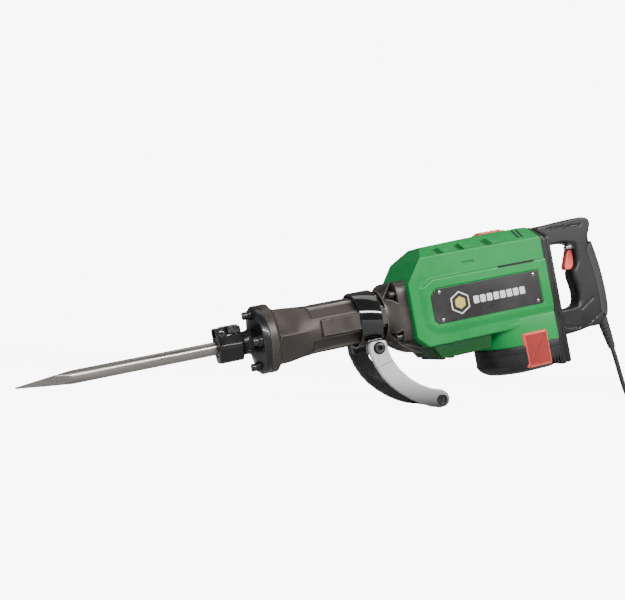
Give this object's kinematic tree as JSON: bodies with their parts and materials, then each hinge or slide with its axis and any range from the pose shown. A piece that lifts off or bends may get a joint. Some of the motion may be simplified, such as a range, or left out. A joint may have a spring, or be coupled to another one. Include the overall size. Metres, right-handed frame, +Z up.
{
  "type": "demolition hammer",
  "caption": "Electric demolition hammer with a pointed chisel, bolted nose, swinging side handle, upright motor housing, D-shaped rear grip with trigger, and a coiled mains cord.",
  "frame": {"origin": "centre of the bounding box on the floor, with the hammer resting on its chisel point and side handle", "axes": "+X towards the rear grip, +Y towards the hammer right side seen from behind the nose, +Z up; the barrel axis points down to the nose"},
  "size_m": [1.3156, 0.1961, 0.3662],
  "materials": {
    "green_shell": "moulded green shell, satin",
    "black_cast": "black painted casting",
    "black_plastic": "moulded black plastic",
    "black_gloss": "gloss black painted metal",
    "black_rubber": "matt rubber",
    "bronze_grey": "bronze-grey coated casting",
    "tool_steel": "ground steel",
    "bright_steel": "bright turned steel",
    "red_plastic": "moulded red plastic",
    "dark_plate": "dark grey plate",
    "copper": "copper bars",
    "iron_core": "laminated iron",
    "carbon": "pressed carbon"
  },
  "bodies": {
    "body": {"bearing_armature_bottom": "bright_steel", "bearing_armature_top": "bright_steel", "bearing_crank_bottom": "bright_steel", "bearing_crank_top": "bright_steel", "bearing_idler": "bright_steel", "brush_cap_left": "red_plastic", "brush_cap_right": "red_plastic", "carbon_brush_left": "carbon", "carbon_brush_right": "carbon", "case_bolt_1": "bright_steel", "case_bolt_2": "bright_steel", "case_bolt_3": "bright_steel", "case_bolt_4": "bright_steel", "cord": "black_rubber", "cord_boot": "black_rubber", "cord_coil": "black_rubber", "crank_case": "bronze_grey", "cylinder_case": "bronze_grey", "cylinder_liner": "bright_steel", "front_bolt_1": "black_cast", "front_bolt_2": "black_cast", "front_bolt_3": "black_cast", "front_bolt_4": "black_cast", "front_cover": "black_cast", "grip_half_left": "black_plastic", "grip_half_right": "black_plastic", "grip_rubber": "black_rubber", "lower_cover": "black_plastic", "mains_plug": "black_rubber", "motor_housing": "green_shell", "nameplate": "dark_plate", "rear_frame": "black_plastic", "retainer_pin": "bright_steel", "roof_vent": "red_plastic", "stator": "iron_core", "switch_body": "black_plastic"},
    "chisel": {"chisel": "tool_steel"},
    "retainer": {"tool_retainer": "black_cast"},
    "side_handle": {"clamp_band": "black_gloss", "handle_arm_left": "black_gloss", "handle_arm_right": "black_gloss", "clamp_screw_left": "bright_steel", "clamp_screw_right": "bright_steel", "side_grip": "black_rubber", "grip_bolt": "black_gloss"},
    "trigger": {"trigger": "red_plastic"},
    "lock_button": {"lock_button": "bright_steel"},
    "armature": {"armature_shaft": "tool_steel", "armature_core": "iron_core", "commutator": "copper", "cooling_fan": "black_plastic"},
    "idler": {"idler_gear": "tool_steel"},
    "crank": {"crankshaft": "tool_steel"},
    "piston": {"piston": "bright_steel", "piston_pin": "bright_steel"},
    "rod": {"connecting_rod": "iron_core", "crank_pin": "bright_steel"},
    "striker": {"striker": "tool_steel"},
    "impact_bolt": {"impact_bolt": "tool_steel"}
  },
  "joints": [
    {"name": "chisel_slide", "type": "slide", "parent": "body", "child": "chisel", "axis": [-0.9687, 0, -0.2484], "range_m": [0, 0.028]},
    {"name": "retainer_swing", "type": "hinge", "parent": "body", "child": "retainer", "pos_m": [-0.23164, 0, 0.102], "axis": [0, -1, 0], "range_deg": [0, 100]},
    {"name": "handle_swing", "type": "hinge", "parent": "body", "child": "side_handle", "pos_m": [0.01503, 0, 0.14255], "axis": [0.9687, 0, 0.2484], "range_deg": [-180, 180]},
    {"name": "trigger_press", "type": "hinge", "parent": "body", "child": "trigger", "pos_m": [0.42441, 0, 0.30536], "axis": [0, -1, 0], "range_deg": [0, 9], "stiffness_Nm_per_rad": 2, "springref_deg": -8.59},
    {"name": "lock_press", "type": "slide", "parent": "body", "child": "lock_button", "axis": [0, 1, 0], "range_m": [0, 0.002], "stiffness_N_per_m": 500, "springref_m": -0.002},
    {"name": "armature_spin", "type": "hinge", "parent": "body", "child": "armature", "pos_m": [0.28237, 0, 0.21111], "axis": [-0.2484, 0, 0.9687], "continuous": true},
    {"name": "idler_spin", "type": "hinge", "parent": "body", "child": "idler", "pos_m": [0.20922, 0, 0.27494], "axis": [-0.2484, 0, 0.9687], "continuous": true},
    {"name": "crank_spin", "type": "hinge", "parent": "body", "child": "crank", "pos_m": [0.15627, 0, 0.24794], "axis": [-0.2484, 0, 0.9687], "continuous": true},
    {"name": "piston_slide", "type": "slide", "parent": "body", "child": "piston", "axis": [0.9687, 0, 0.2484], "range_m": [0, 0.04]},
    {"name": "rod_swing", "type": "hinge", "parent": "piston", "child": "rod", "pos_m": [0.01018, 0, 0.14131], "axis": [-0.2484, 0, 0.9687], "range_deg": [-7.7, 7.7]},
    {"name": "striker_slide", "type": "slide", "parent": "body", "child": "striker", "axis": [0.9687, 0, 0.2484], "range_m": [-0.015, 0.028]},
    {"name": "impact_bolt_slide", "type": "slide", "parent": "body", "child": "impact_bolt", "axis": [0.9687, 0, 0.2484], "range_m": [0, 0.012]}
  ],
  "couplings": [
    {"joint": "idler_spin", "follows": "armature_spin", "ratio": -0.22222},
    {"joint": "crank_spin", "follows": "armature_spin", "ratio": 0.070707}
  ]
}
